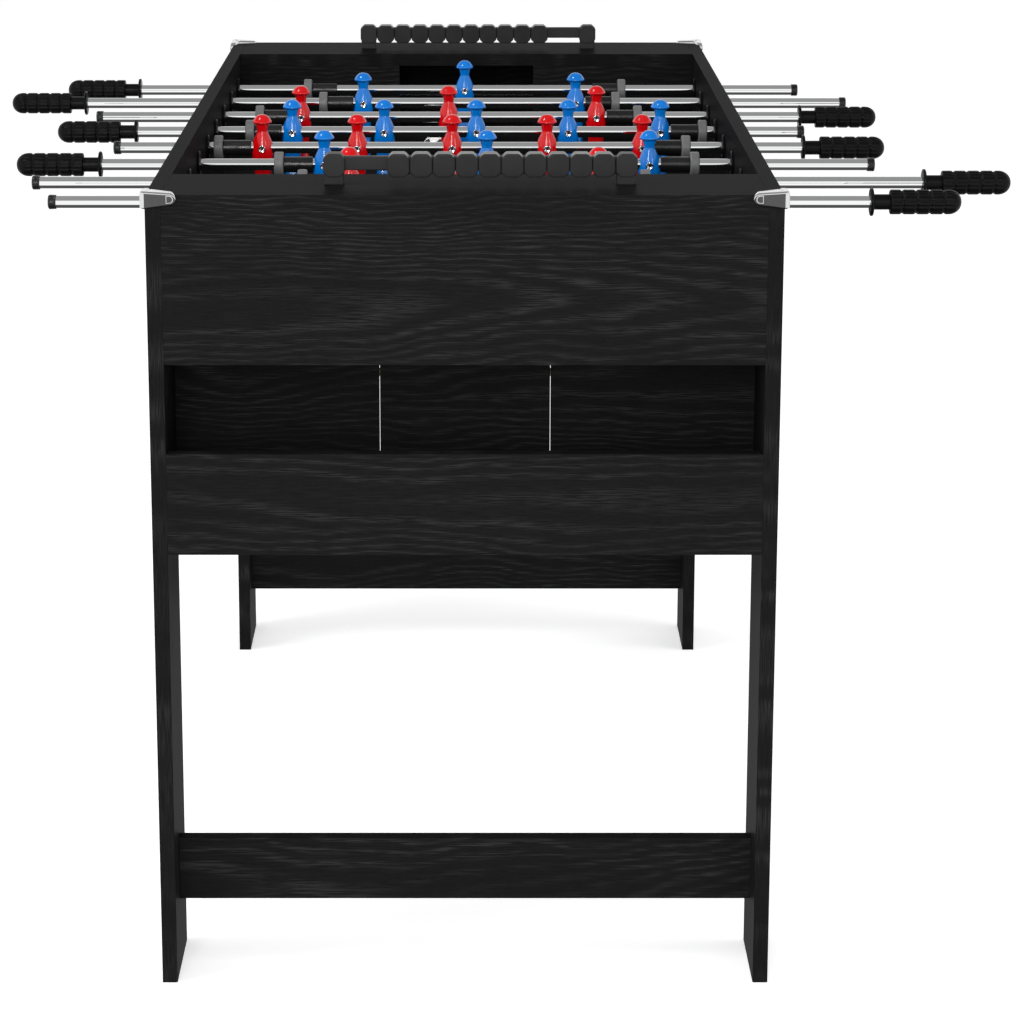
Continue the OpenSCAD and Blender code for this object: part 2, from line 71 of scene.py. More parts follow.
class Shader:
    """A node material with short calls for its nodes.

    A value may be a number, a colour or a socket.
    """

    def __init__(self, name, **principled):
        self.material = bpy.data.materials.new(name)
        self.material.use_nodes = True
        self.tree = self.material.node_tree
        self.bsdf = self.tree.nodes["Principled BSDF"]
        for socket, value in principled.items():
            self.put(self.bsdf.inputs[socket.replace("_", " ")], value)

    def put(self, socket, value):
        if isinstance(value, bpy.types.NodeSocket):
            self.tree.links.new(value, socket)
        elif isinstance(value, (tuple, list)) and len(value) == 3 and socket.type == "RGBA":
            socket.default_value = (*value, 1)
        else:
            socket.default_value = value

    def math(self, operation, *values):
        node = self.tree.nodes.new("ShaderNodeMath")
        node.operation = operation
        for socket, value in zip(node.inputs, values):
            self.put(socket, value)
        return node.outputs[0]

    def place(self):
        """Position in the shared frame, in metres."""
        return self.tree.nodes.new("ShaderNodeTexCoord").outputs["Object"]

    def split(self, vector):
        node = self.tree.nodes.new("ShaderNodeSeparateXYZ")
        self.put(node.inputs[0], vector)
        return node.outputs

    def join(self, x, y, z):
        node = self.tree.nodes.new("ShaderNodeCombineXYZ")
        for socket, value in zip(node.inputs, (x, y, z)):
            self.put(socket, value)
        return node.outputs[0]

    def noise(self, vector, scale=1.0, detail=2.0, roughness=0.5):
        node = self.tree.nodes.new("ShaderNodeTexNoise")
        for socket, value in (("Vector", vector), ("Scale", scale), ("Detail", detail),
                              ("Roughness", roughness)):
            self.put(node.inputs[socket], value)
        return node.outputs["Fac"]

    def between(self, value, low, high, to_low=0.0, to_high=1.0):
        """Maps low..high to to_low..to_high, smoothly and clamped."""
        node = self.tree.nodes.new("ShaderNodeMapRange")
        node.interpolation_type = "SMOOTHSTEP"
        for i, number in enumerate((value, low, high, to_low, to_high)):
            self.put(node.inputs[i], number)
        return node.outputs[0]

    def mix(self, factor, first, second):
        node = self.tree.nodes.new("ShaderNodeMix")
        node.data_type = "RGBA"
        self.put(node.inputs["Factor"], factor)
        self.put(node.inputs[6], first)
        self.put(node.inputs[7], second)
        return node.outputs[2]

    def bump(self, height, strength, distance):
        node = self.tree.nodes.new("ShaderNodeBump")
        self.put(node.inputs["Height"], height)
        self.put(node.inputs["Strength"], strength)
        self.put(node.inputs["Distance"], distance)
        self.put(self.bsdf.inputs["Normal"], node.outputs[0])


# ---------------------------------------------------------------- materials

GRAIN_ORDER = {"end": (0, 2, 1), "leg": (2, 1, 0), "side": (1, 2, 0), "flat": (0, 1, 2),
               "field": (1, 0, 2)}
wood_numbers = itertools.count(1)


def black_wood(name, board, heart=0.0):
    """Black oak laminate: growth rings cut into arches along the board, drawn by fine pale fibres.

    board names how the grain lies, and heart is where across the board its arches are centred.
    """
    s = Shader(name, Specular_IOR_Level=0.004)
    xyz = s.split(s.place())
    along, across, deep = (xyz[i] for i in GRAIN_ORDER[board])
    shift = 3.7 * next(wood_numbers)
    along = s.math("ADD", along, shift)
    across = s.math("SUBTRACT", across, heart)

    # The rings run almost along the board. Slow noise bends them, quick noise makes them waver.
    bend = s.noise(s.join(along, s.math("MULTIPLY", across, 2), shift), 1.3, 2)
    waver = s.noise(s.join(s.math("MULTIPLY", along, 9), s.math("MULTIPLY", across, 22), shift),
                    1.0, 2)
    off_heart = s.math("MULTIPLY_ADD", s.math("SUBTRACT", bend, 0.5), 0.2, across)
    off_heart = s.math("MULTIPLY_ADD", s.math("SUBTRACT", waver, 0.5), 0.026, off_heart)
    drift = s.noise(s.join(along, 0.0, shift + 5), 0.9, 1)
    rise = s.math("MULTIPLY_ADD", drift, 0.14, 0.005)
    radius = s.math("SQRT", s.math("ADD", s.math("MULTIPLY", off_heart, off_heart),
                                   s.math("MULTIPLY", rise, rise)))
    ring = s.math("PINGPONG", s.math("MULTIPLY", radius, 210), 0.5)
    line = s.between(ring, 0.12, 0.48)

    fibre_at = s.join(s.math("MULTIPLY", along, 36), s.math("MULTIPLY", across, 1000),
                      s.math("MULTIPLY", deep, 1000))
    fibre = s.between(s.noise(fibre_at, 1.0, 2), 0.36, 0.66)
    pore_at = s.join(s.math("MULTIPLY", along, 90), s.math("MULTIPLY", across, 2400),
                     s.math("MULTIPLY", deep, 2400))
    pore = s.between(s.noise(pore_at, 1.0, 1), 0.52, 0.66)
    patch = s.noise(s.join(along, s.math("MULTIPLY", across, 5), shift), 4.0, 2)

    pale = s.math("MULTIPLY", s.math("MULTIPLY_ADD", line, 0.8, 0.2), fibre)
    pale = s.math("MULTIPLY", pale, s.between(patch, 0.3, 0.62, 0.35, 1.0))
    pale = s.math("MAXIMUM", pale, s.math("MULTIPLY", pore, 0.2))
    dark_board, pale_fibre = (0.0072, 0.0072, 0.0075), (0.0235, 0.0235, 0.024)
    s.put(s.bsdf.inputs["Base Color"], s.mix(pale, dark_board, pale_fibre))
    s.put(s.bsdf.inputs["Roughness"], s.between(pale, 0, 1, 0.46, 0.58))
    s.bump(s.math("SUBTRACT", 1.0, pale), 0.25, 0.12 * MM)
    return s.material


def plain_plastic(name, colour, roughness, specular=0.5, coat=0.0, grit=0.05, fine=900):
    """Moulded plastic or rubber with a faint mottle in colour and gloss, and a fine grit."""
    s = Shader(name, Specular_IOR_Level=specular, Coat_Weight=coat, Coat_Roughness=0.06)
    where = s.place()
    mottle = s.noise(where, 60, 2)
    darker, lighter = tuple(c * 0.88 for c in colour), tuple(min(1, c * 1.12) for c in colour)
    s.put(s.bsdf.inputs["Base Color"], s.mix(mottle, darker, lighter))
    gloss = s.between(mottle, 0.3, 0.7, roughness * 0.85, roughness * 1.15)
    s.put(s.bsdf.inputs["Roughness"], gloss)
    s.bump(s.noise(where, fine, 2), grit, 0.2 * MM)
    return s.material


def plated(name, colour, roughness, brushed=None):
    """Plated metal, with drawing marks along X if brushed."""
    s = Shader(name, Metallic=1.0)
    where = s.place()
    if brushed:
        xyz = s.split(where)
        where = s.join(s.math("MULTIPLY", xyz[0], 4), s.math("MULTIPLY", xyz[1], brushed),
                       s.math("MULTIPLY", xyz[2], brushed))
        wear = s.noise(where, 1.0, 3)
    else:
        wear = s.noise(where, 220, 3)
    s.put(s.bsdf.inputs["Base Color"], s.mix(wear, tuple(c * 0.94 for c in colour), colour))
    s.put(s.bsdf.inputs["Roughness"], s.between(wear, 0.3, 0.7, roughness * 0.9, roughness * 1.2))
    return s.material


def beech(name):
    """Plain beech with fine fibres along X."""
    s = Shader(name, Roughness=0.6)
    xyz = s.split(s.place())
    fibre = s.noise(s.join(s.math("MULTIPLY", xyz[0], 40), s.math("MULTIPLY", xyz[1], 900),
                           s.math("MULTIPLY", xyz[2], 900)), 1.0, 3)
    s.put(s.bsdf.inputs["Base Color"], s.mix(fibre, (0.3, 0.2, 0.11), (0.5, 0.36, 0.21)))
    return s.material


GLOSSY = dict(roughness=0.18, specular=0.3, coat=0.3, grit=0.015, fine=300)
RED = plain_plastic("men_red", (0.46, 0.001, 0.003), **GLOSSY)
BLUE = plain_plastic("men_blue", (0.0, 0.128, 0.455), **GLOSSY)
CHROME = plated("rod_chrome", (0.95, 0.955, 0.96), 0.012, brushed=120)
SCREW = plated("screw_chrome", (0.85, 0.85, 0.86), 0.1)
STEEL = plated("screw_steel", (0.2, 0.2, 0.21), 0.35)
# Lit and shaded copies of the caps' one plated metal: the darker one paints shade on the caps'
# outer faces, the brighter one their lit tops and edges.
CAP_SATIN_PAINTED_SHADE = plated("cap_satin", (0.115, 0.115, 0.118), 0.4)
CAP_POLISHED_LIT = plated("cap_polished", (0.8, 0.8, 0.81), 0.22)
GRIP = plain_plastic("grip_black", (0.0025, 0.0025, 0.0025), 0.32, specular=0.09, grit=0.1)
# Black of the sleeves, end caps and their screws, also used as painted shade inside the men's screw
# sockets.
SLEEVE_BLACK_AND_SOCKET_SHADE = plain_plastic("sleeve_black", (0.006, 0.006, 0.006), 0.3, specular=0.4)
RUBBER = plain_plastic("ring_grey", (0.11, 0.11, 0.112), 0.42, specular=0.3, grit=0.1)
BUSH = plain_plastic("bush_black", (0.004, 0.004, 0.004), 0.4, specular=0.12)
SCORER = plain_plastic("scorer_grey", (0.018, 0.018, 0.0185), 0.4, specular=0.08)
BEAD = plain_plastic("bead_grey", (0.0165, 0.0165, 0.017), 0.22, specular=0.09)
BALL_WHITE = plain_plastic("ball_white", (0.84, 0.84, 0.83), 0.3, coat=0.3)
BALL_BLACK = plain_plastic("ball_black", (0.012, 0.012, 0.012), 0.3, coat=0.3)


# ---------------------------------------------------------------- mesh helpers

def piece(name, bm, materials, body, nodes, sharp=40):
    """Turns a bmesh into a piece of the object that rides on body and stands for CAD nodes."""
    mesh = bpy.data.meshes.new(name)
    bmesh.ops.recalc_face_normals(bm, faces=bm.faces)
    bm.to_mesh(mesh)
    bm.free()
    for material in materials if isinstance(materials, (tuple, list)) else (materials,):
        mesh.materials.append(material)
    mesh.shade_smooth()
    mesh.set_sharp_from_angle(angle=math.radians(sharp))
    obj = bpy.data.objects.new(name, mesh)
    bpy.context.scene.collection.objects.link(obj)
    obj.modifiers.new("flat_faces_stay_flat", "WEIGHTED_NORMAL").keep_sharp = True
    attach(obj, body)
    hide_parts(*nodes)
    return obj


def add_mesh(bm, mesh, at=(0, 0, 0), turn=None, mirror_x=False, material=0):
    """Adds a copy of a mesh to bm, turned, mirrored across X and moved."""
    matrix = Matrix.Translation(Vector(at))
    if turn is not None:
        matrix = matrix @ turn
    if mirror_x:
        matrix = matrix @ Matrix.Diagonal((-1, 1, 1, 1))
    before = len(bm.faces)
    first_vert = len(bm.verts)
    bm.from_mesh(mesh)
    bm.verts.ensure_lookup_table()
    bm.faces.ensure_lookup_table()
    for vert in bm.verts[first_vert:]:
        vert.co = matrix @ vert.co
    new = bm.faces[before:]
    for face in new:
        face.material_index += material
    if mirror_x:
        bmesh.ops.reverse_faces(bm, faces=new)


def as_mesh(bm, name):
    """A mesh of the bmesh, which is freed."""
    mesh = bpy.data.meshes.new(name)
    bmesh.ops.recalc_face_normals(bm, faces=bm.faces)
    bm.to_mesh(mesh)
    bm.free()
    return mesh


def lathe(outline, steps=64, wave=None):
    """Closed surface round X from (distance, radius) points that start and end on the axis.

    wave(distance, radius, angle) may change the radius.
    """
    bm = bmesh.new()
    rings = []
    for x, radius in outline:
        if radius == 0:
            rings.append([bm.verts.new((x, 0, 0))])
            continue
        ring = []
        for i in range(steps):
            angle = TURN * i / steps
            r = wave(x, radius, angle) if wave else radius
            ring.append(bm.verts.new((x, r * math.cos(angle), r * math.sin(angle))))
        rings.append(ring)
    for a, b in zip(rings, rings[1:]):
        for i in range(steps):
            j = (i + 1) % steps
            corners = [a[i % len(a)], b[i % len(b)], b[j % len(b)], a[j % len(a)]]
            bm.faces.new(list(dict.fromkeys(corners)))
    return bm


def tube_of(outline, steps=64):
    """Closed ring round X from (distance, radius) points that go round its wall."""
    bm = bmesh.new()
    rings = [[bm.verts.new((x, r * math.cos(TURN * i / steps), r * math.sin(TURN * i / steps)))
              for i in range(steps)] for x, r in outline]
    for a, b in zip(rings, rings[1:] + rings[:1]):
        for i in range(steps):
            j = (i + 1) % steps
            bm.faces.new((a[i], b[i], b[j], a[j]))
    return bm


def fillet(corner, start, end, radius, steps=4):
    """Points of a quarter round at corner, from the side of start to the side of end."""
    corner = Vector(corner)
    a = (Vector(start) - corner).normalized() * radius
    b = (Vector(end) - corner).normalized() * radius
    centre = corner + a + b
    return [tuple(centre - b * math.cos(t) - a * math.sin(t))
            for t in (TURN / 4 * i / steps for i in range(steps + 1))]


def plain_box(lo, hi):
    bm = bmesh.new()
    bmesh.ops.create_cube(bm, size=1)
    size, centre = Vector(hi) - Vector(lo), (Vector(hi) + Vector(lo)) / 2
    bmesh.ops.transform(bm, matrix=Matrix.Translation(centre) @ Matrix.Diagonal((*size, 1)),
                        verts=bm.verts)
    return bm


def round_edges(bm, round_by, steps):
    bmesh.ops.bevel(bm, geom=bm.edges[:], offset=round_by, segments=steps, profile=0.5,
                    affect="EDGES", clamp_overlap=True)
    return bm


def block(lo, hi, round_by, steps=2):
    """Box with every edge rounded."""
    return round_edges(plain_box(lo, hi), round_by, steps)


def eight_sided(lo, hi, corner, round_by):
    """Box with its four edges along Y cut off at 45 degrees, and every edge then rounded."""
    bm = plain_box(lo, hi)
    half_depth = 0.5 * (Vector(hi).y - Vector(lo).y)
    along_y = [e for e in bm.edges if abs(e.verts[0].co.y - e.verts[1].co.y) > half_depth]
    bmesh.ops.bevel(bm, geom=along_y, offset=corner, segments=1, affect="EDGES")
    return round_edges(bm, round_by, 3)


def cylinder(radius, length, steps=48, tip=None):
    """Solid cylinder along X, centred, or a cone frustum if tip gives the far radius."""
    tip = radius if tip is None else tip
    end = length / 2
    return lathe([(-end, 0), (-end, radius), (end, tip), (end, 0)], steps)


def merged(*parts):
    """One bmesh holding several, each a (bmesh, move) pair or a bmesh."""
    whole = bmesh.new()
    for part in parts:
        bm, at = part if isinstance(part, tuple) else (part, (0, 0, 0))
        mesh = as_mesh(bm, "part")
        add_mesh(whole, mesh, at)
        bpy.data.meshes.remove(mesh)
    return whole


def cut(body, cutter):
    """The first bmesh less the second, as a new bmesh."""
    holders = []
    for bm, name in ((body, "cut_body"), (cutter, "cut_tool")):
        holder = bpy.data.objects.new(name, as_mesh(bm, name))
        bpy.context.scene.collection.objects.link(holder)
        holders.append(holder)
    modifier = holders[0].modifiers.new("cut", "BOOLEAN")
    modifier.operation, modifier.object, modifier.solver = "DIFFERENCE", holders[1], "EXACT"
    modifier.use_self = True
    evaluated = holders[0].evaluated_get(bpy.context.evaluated_depsgraph_get())
    result = bmesh.new()
    result.from_mesh(evaluated.to_mesh())
    for holder in holders:
        mesh = holder.data
        bpy.data.objects.remove(holder)
        bpy.data.meshes.remove(mesh)
    bmesh.ops.remove_doubles(result, verts=result.verts, dist=1e-6)
    return result


# ---------------------------------------------------------------- sizes read from the frame

panel_lo, panel_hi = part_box("side_panel_right")
BOARD = panel_hi.x - panel_lo.x
OUTER_X = panel_hi.x
INNER_X = OUTER_X - BOARD
END_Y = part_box("leg_far_left")[1].y
TOP_Z = panel_hi.z
BUSH_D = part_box("rod_bushes")[1].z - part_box("rod_bushes")[0].z


def mid(node):
    """Centre of a CAD node's box."""
    lo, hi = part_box(node)
    return (lo + hi) / 2


# ---------------------------------------------------------------- boards

EDGE = 0.3 * MM
SCREW_HEAD = 4.0 * MM
SCREW_DEEP = 2.2 * MM
SINK_R = 1.04 * SCREW_HEAD
BUSH_HOLE = 8.2 * MM


def screw_places():
    """Centres of the screw heads on the outer faces, from the CAD screws."""
    mesh = frame["nodes"]["board_screws"].data
    heads = {}
    cell = 12 * MM
    for vert in mesh.vertices:
        x, y, z = vert.co
        if abs(abs(x) - OUTER_X) < 0.1 * MM:
            key = (x > 0, round(y / cell), round(z / cell))
            heads.setdefault(key, []).append((y, z))
    places = {}
    for (right, _, _), points in heads.items():
        y = (min(p[0] for p in points) + max(p[0] for p in points)) / 2
        z = (min(p[1] for p in points) + max(p[1] for p in points)) / 2
        places[(right, round(y, 4), round(z, 4))] = None
    return list(places)


SCREWS = screw_places()


def sinks(right, lo, hi):
    """Countersunk recesses for the screws of one side that lie in a board from lo to hi."""
    parts = []
    for is_right, y, z in SCREWS:
        if is_right == right and lo.y < y < hi.y and lo.z < z < hi.z:
            side = 1 if right else -1
            parts.append((cylinder(SINK_R, 2 * SCREW_DEEP, 32), (side * OUTER_X, y, z)))
    return parts


def board(node, grain, heart=0.0, cutters=()):
    """One board the size of its CAD node, less the cutters."""
    lo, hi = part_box(node)
    bm = block(lo, hi, EDGE)
    if cutters:
        bm = cut(bm, merged(*cutters))
    material = black_wood("laminate_" + node, grain, heart)
    return piece(node + "_board", bm, material, "table", [node], sharp=35)


def outer_board(node, grain, heart, holes=()):
    """A board on the outside of the table, with recesses for its screws."""
    lo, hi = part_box(node)
    return board(node, grain, heart, [*sinks(hi.x > 0, lo, hi), *holes])


rod_axis = {k: mid(f"rod_{k}_tube") for k in RODS}

for side in ("left", "right"):
    sign = 1 if side == "right" else -1
    rod_holes = [(cylinder(BUSH_HOLE, 3 * BOARD, 32),
                  (sign * (INNER_X + BOARD / 2), rod_axis[k].y, rod_axis[k].z)) for k in RODS]
    outer_board("side_panel_" + side, "side", mid("side_panel_left").z, rod_holes)
    for end in ("near", "far"):
        node = f"leg_{end}_{side}"
        outer_board(node, "leg", mid(node).y + 0.02 * sign)

for end in ("near", "far"):
    board("upper_end_panel_" + end, "end", mid("upper_end_panel_near").z - 0.02)
    board("lower_end_panel_" + end, "end", mid("lower_end_panel_near").z + 0.03)
    board("crossbar_" + end, "end", mid("crossbar_near").z)
    board("ledge_" + end, "flat", mid("ledge_" + end).y)
    board("ball_tray_" + end, "flat", mid("ball_tray_" + end).y)

board("playfield", "field")


def goal_wall(end):
    """Two outer boards and the lower middle board, with a narrow gap between them."""
    node = "goal_wall_" + end
    lo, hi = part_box(node)
    xs = sorted({round(v.co.x, 4) for v in frame["nodes"][node].data.vertices
                 if v.co.z < lo.z + 0.1 * MM})
    field_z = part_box("playfield")[1].z
    outer_left, inner_left, middle_left, middle_right, inner_right, outer_right = xs
    boards = [((outer_left, inner_left), hi.z), ((middle_left, middle_right), field_z),
              ((inner_right, outer_right), hi.z)]
    parts = [block((x0, lo.y, lo.z), (x1, hi.y, top), EDGE) for (x0, x1), top in boards]
    material = black_wood("laminate_" + node, "end", lo.z + 0.2)
    piece(node + "_boards", merged(*parts), material, "table", [node], sharp=35)


for end in ("near", "far"):
    goal_wall(end)


# ---------------------------------------------------------------- fasteners and fittings

def screw_head(radius, rise, recess, arm):
    """Low domed head along -X, its face at x = 0, with a cross recess.

    arm is how far the recess starts before the face, its half length and its half width.
    """
    dome = [(2.5 * rise, 0), (2.5 * rise, radius * 0.55), (0.6 * rise, radius)]
    dome += [(0.6 * rise - 0.6 * rise * math.sin(t), radius * math.cos(t) ** 0.7)
             for t in (0.4, 0.8, 1.2)]
    dome.append((0, 0))
    head = lathe(dome, 32)
    front, long, short = arm
    for half_y, half_z in ((long, short), (short, long)):
        head = cut(head, block((-front, -half_y, -half_z), (recess, half_y, half_z), 0.05 * MM, 1))
    return as_mesh(head, "screw_head")


def board_screws():
    """Heads of all board screws, just below the outer faces."""
    head = screw_head(SCREW_HEAD, 0.7 * MM, 0.9 * MM, (1 * MM, 2.2 * MM, 0.45 * MM))
    below_face = 0.2 * MM
    bm = bmesh.new()
    for right, y, z in SCREWS:
        x = (1 if right else -1) * (OUTER_X - below_face)
        add_mesh(bm, head, (x, y, z), mirror_x=right)
    piece("board_screw_heads", bm, STEEL, "table", ["board_screws"], sharp=30)


board_screws()
frame["nodes"]["dowels"].data.materials.clear()
frame["nodes"]["dowels"].data.materials.append(beech("dowel_beech"))


def rod_bushes():
    """Flanged bushes on the inner faces, and their hexagon nuts outside."""
    lo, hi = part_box("rod_bushes")
    flange_x = min(v.co.x for v in frame["nodes"]["rod_bushes"].data.vertices if v.co.x > 0)
    flange_r, bore, barrel = BUSH_D / 2, 6.45 * MM, 8 * MM
    lead_in, dish = 0.8 * MM, 0.7 * MM
    wall = [(hi.x, bore), (hi.x, barrel), (INNER_X, barrel)]
    wall += fillet((INNER_X, flange_r), (INNER_X, 0), (flange_x, flange_r), 0.4 * MM, 2)
    wall += fillet((flange_x, flange_r), (hi.x, flange_r), (flange_x, 0), 1.2 * MM)
    wall += [(flange_x, barrel + 1.6 * MM), (flange_x + dish, barrel + 1.2 * MM)]
    wall += [(flange_x + dish, bore + 1.2 * MM), (flange_x, bore + lead_in), (flange_x, bore)]
    bush = as_mesh(tube_of(wall, 56), "bush")
    nut_r, nut_out = 13.5 * MM, OUTER_X + 5 * MM
    nut = cut(cylinder(nut_r, nut_out - OUTER_X, 6), cylinder(barrel + 0.05 * MM, BOARD, 48))
    bmesh.ops.bevel(nut, geom=[e for e in nut.edges if e.calc_length() > 6 * MM],
                    offset=0.5 * MM, segments=2, affect="EDGES")
    nut = as_mesh(nut, "nut")
    bm = bmesh.new()
    for k in RODS:
        y, z = rod_axis[k].y, rod_axis[k].z
        for right in (False, True):
            add_mesh(bm, bush, (0, y, z), mirror_x=not right)
            x = (OUTER_X + nut_out) / 2
            add_mesh(bm, nut, (x if right else -x, y, z), mirror_x=not right)
    piece("rod_bushes_and_nuts", bm, BUSH, "table", ["rod_bushes"], sharp=30)


rod_bushes()


def cap_stations(reach, lap, other_lap, sizes):
    """Sections of one arm of a cap, from the mitre at the corner to the tip.

    Each is (distance from the corner, turn round it, bottom, top, lap over the board).
    """
    rise, drop, tip_r, tip_rise = sizes
    straight, tip_z = reach - tip_r, tip_rise - tip_r
    eighth = TURN / 8
    rows = [(0, eighth * (1 - i / 4), -drop, rise, 0) for i in range(4)]
    spots = [other_lap * i / 4 for i in range(5)]
    spots += [other_lap + (straight - other_lap) * i / 8 for i in range(1, 9)]
    for a in spots:
        share = a / straight
        taper = 1 - 0.45 * max(0, a - other_lap) / (straight - other_lap)
        over = lap * min(1, a / other_lap) * taper
        bottom = -drop + (tip_z - tip_r + drop) * share
        top = rise + (tip_rise - rise) * share
        rows.append((a, 0, bottom, top, over))
    for i in range(1, 9):
        t = 0.97 * TURN / 4 * i / 8
        top = tip_z + tip_r * math.cos(t)
        over = 0.55 * lap * max(0, top / tip_rise)
        rows.append((straight + tip_r * math.sin(t), 0, tip_z - tip_r * math.cos(t), top, over))
    return rows


def cap_section(thick, low, top, lap):
    """Outline of a section as (distance out from the board, height)."""
    r = min(0.45 * thick, 0.45 * (top - low))
    floor, k = min(0, top), min(0.8 * r, lap / 2)
    quarter = [TURN / 4 * i / 3 for i in range(4)]
    points = [(0, low)]
    points += [(thick - r + r * math.sin(t), low + r - r * math.cos(t)) for t in quarter]
    points += [(thick - r + r * math.cos(t), top - r + r * math.sin(t)) for t in quarter]
    return points + [(k - lap, top), (-lap, max(floor, top - k)), (-lap, floor), (0, floor)]


def cap_mesh():
    """Moulded cap of the far right corner: two tapered arms, lapped over the boards' tops."""
    lo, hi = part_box("corner_caps")
    thick = hi.x - OUTER_X
    vertices = [v.co for v in frame["nodes"]["corner_caps"].data.vertices]
    reach_x = OUTER_X - min(co.x for co in vertices if co.x > 0)
    reach_y = END_Y - min(co.y for co in vertices if co.y > 0)
    lap_end, lap_side, tip_r, tip_rise = 14 * MM, 6 * MM, 6.2 * MM, 2.5 * MM
    sizes = (hi.z - TOP_Z, TOP_Z - lo.z, tip_r, tip_rise)
    edges, front, inner_wall = 1, 4, 10

    def along_end(a, d, turn, z):
        return OUTER_X - a + d * math.sin(turn), END_Y + d * math.cos(turn), TOP_Z + z

    def along_side(a, d, turn, z):
        return OUTER_X + d * math.cos(turn), END_Y - a + d * math.sin(turn), TOP_Z + z

    bm = bmesh.new()
    arms = ((reach_x, lap_end, lap_side, along_end), (reach_y, lap_side, lap_end, along_side))
    for reach, lap, other_lap, place in arms:
        rows = cap_stations(reach, lap, other_lap, sizes)
        rings = [[bm.verts.new(place(a, d, turn, z)) for d, z in cap_section(thick, low, top, over)]
                 for a, turn, low, top, over in rows]
        for (a0, turn, *_), (a1, *_), ring, after in zip(rows, rows[1:], rings, rings[1:]):
            for i in range(len(ring)):
                j = (i + 1) % len(ring)
                if i == inner_wall and a1 <= other_lap * 1.001:
                    continue
                face = bm.faces.new((ring[i], ring[j], after[j], after[i]))
                # The lower rounding and the outer face of each straight section get the darker copy
                # as painted shade; the rest get the brighter, lit copy.
                face.material_index = 0 if edges <= i <= front and turn == 0 else 1
        bm.faces.new(rings[-1]).material_index = 1

        # A raised pad near the tip: flat on the side of the corner and round on the other.
        middle = reach - tip_r, tip_rise - tip_r
        pad_r, pad_start = tip_r - 1.9 * MM, reach - 9.5 * MM
        pad = [(pad_start, -8.2 * MM), (pad_start, 0.6 * MM)]
        pad += [(middle[0] + pad_r * math.cos(t), middle[1] + pad_r * math.sin(t))
                for t in (TURN / 4 - TURN / 2 * i / 10 for i in range(11))]
        near, far = ([bm.verts.new(place(middle[0] + (a - middle[0]) * size, d, 0,
                                         middle[1] + (z - middle[1]) * size)) for a, z in pad]
                     for d, size in ((thick - 0.3 * MM, 1), (thick + 0.5 * MM, 0.72)))
        bm.faces.new(near)
        bm.faces.new(far)
        for i in range(len(pad)):
            j = (i + 1) % len(pad)
            bm.faces.new((near[i], near[j], far[j], far[i])).material_index = 1
    bmesh.ops.remove_doubles(bm, verts=bm.verts, dist=1e-6)
    return as_mesh(bm, "cap")


def corner_caps():
    """The four caps, each a mirrored copy of the far right one."""
    cap = cap_mesh()
    bm = bmesh.new()
    for turn_x, turn_y in ((1, 1), (-1, 1), (1, -1), (-1, -1)):
        add_mesh(bm, cap, turn=Matrix.Diagonal((1, turn_y, 1, 1)), mirror_x=turn_x < 0)
    # The first material paints shade on the outer faces, the second is the lit copy of the same
    # metal.
    piece("corner_caps_bright", bm, (CAP_SATIN_PAINTED_SHADE, CAP_POLISHED_LIT), "table",
          ["corner_caps"], sharp=50)


corner_caps()


# ---------------------------------------------------------------- scorers

def scorer(end):
    """One scorer: two posts with feet, the bar between them, and its row of beads."""
    rail, beads = "scorer_rail_" + end, "scorer_beads_" + end
    lo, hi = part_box(rail)
    bead_lo, bead_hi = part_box(beads)
    post_w, bar_t, bar_h = 21 * MM, 8 * MM, 13.4 * MM
    corner, soft = 4.6 * MM, 1.3 * MM
    middle_y, bead_z = (lo.y + hi.y) / 2, (bead_lo.z + bead_hi.z) / 2
    bar_z = bead_z + 1.5 * MM
    parts = []
    for x in (lo.x, hi.x - post_w):
        parts.append(eight_sided((x, lo.y, bead_lo.z), (x + post_w, hi.y, hi.z), corner, soft))
        parts.append(block((x + MM, lo.y + MM, lo.z), (x + post_w - MM, hi.y - MM, bead_z),
                           1.5 * MM, 3))
    parts.append(block((lo.x + post_w / 2, middle_y - bar_t / 2, bar_z - bar_h / 2),
                       (hi.x - post_w / 2, middle_y + bar_t / 2, bar_z + bar_h / 2), 1.2 * MM, 3))
    piece(rail + "_posts_and_bar", merged(*parts), SCORER, "table", [rail], sharp=50)

    pitch, count = 22 * MM, 10
    width, half_t = pitch - 0.3 * MM, (bead_hi.y - bead_lo.y) / 2
    half_h = (bead_hi.z - bead_lo.z) / 2
    bead = eight_sided((-width / 2, -half_t, -half_h), (width / 2, half_t, half_h), corner, soft)
    slot_t, slot_h, up = bar_t / 2 + 0.4 * MM, bar_h / 2 + 0.4 * MM, bar_z - bead_z
    bead = cut(bead, block((-width, -slot_t, up - slot_h), (width, slot_t, up + slot_h),
                           0.8 * MM, 2))
    bead = as_mesh(bead, "bead")
    bm = bmesh.new()
    for i in range(count):
        add_mesh(bm, bead, (bead_lo.x + width / 2 + i * pitch, middle_y, bead_z))
    piece(beads + "_round", bm, BEAD, "beads_" + end, [beads], sharp=40)


scorer("near")
scorer("far")


# ---------------------------------------------------------------- rods

TUBE_R = 6.35 * MM
SEGMENT = 14 * MM
HALF_MAN = 12 * MM
MAN_SCREW_OUT = 12.4 * MM
SEAT_OUT = 10.2 * MM
RING_W, RING_R = 10 * MM, 13.75 * MM
SLEEVE_L, SLEEVE_R = 31.5 * MM, 8.5 * MM
SLEEVE_SCREW_OUT = 8.7 * MM
TO_FRONT = Matrix.Rotation(TURN / 4, 4, "Z")


